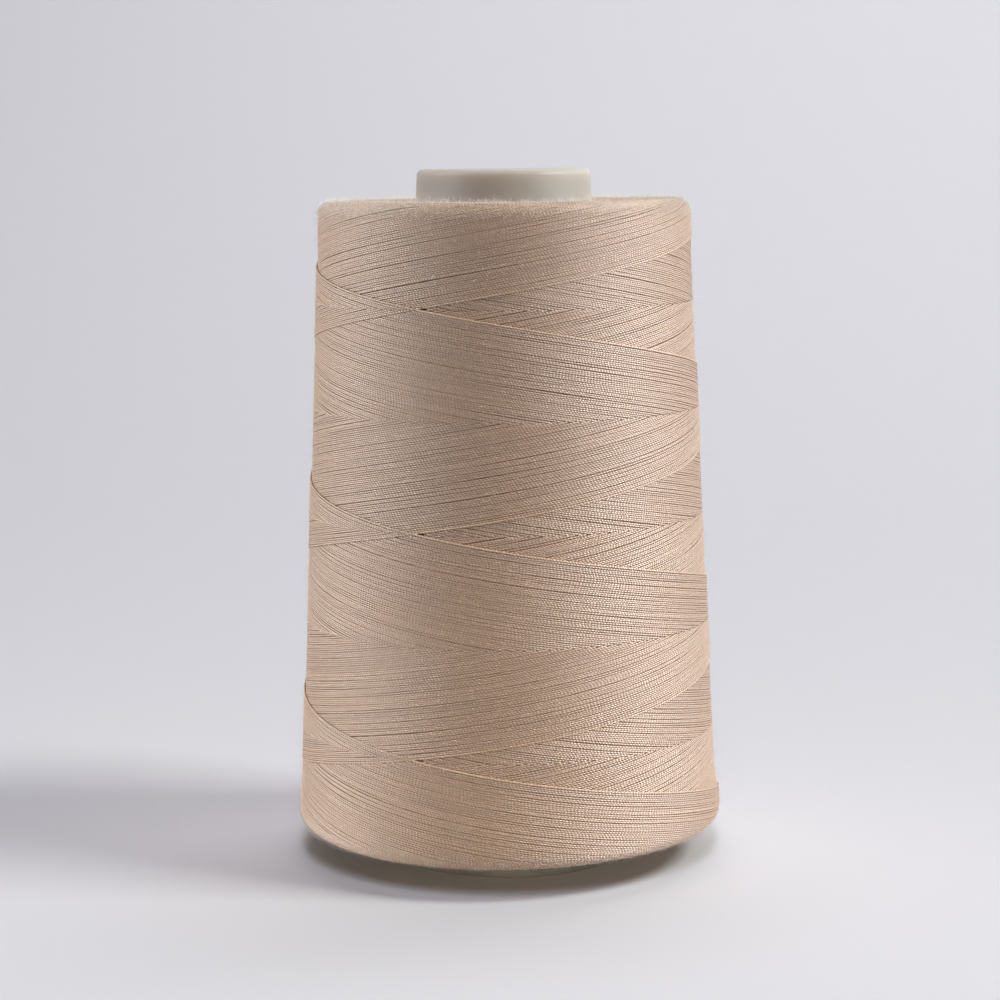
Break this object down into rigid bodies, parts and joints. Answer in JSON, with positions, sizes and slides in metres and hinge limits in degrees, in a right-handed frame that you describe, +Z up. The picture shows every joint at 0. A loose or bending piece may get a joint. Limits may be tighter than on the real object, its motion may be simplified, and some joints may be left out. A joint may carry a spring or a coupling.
{
  "type": "cone of sewing thread",
  "caption": "Tall tapered cone of cross-wound beige sewing thread on a hollow ivory plastic cone that stands on its foot ring and fits over a spindle.",
  "frame": {"origin": "on the surface the cone stands on, at the cone's axis, under the foot ring", "axes": "+Z up along the cone's axis, from the foot ring to the nose; the pictured side looks along -Y"},
  "size_m": [0.0744, 0.0741, 0.12],
  "materials": {
    "plastic": "ivory moulded plastic, satin",
    "thread": "beige spun polyester thread, cross-wound"
  },
  "bodies": {
    "root": {"plastic_cone": "plastic", "thread_winding": "thread"}
  },
  "joints": []
}
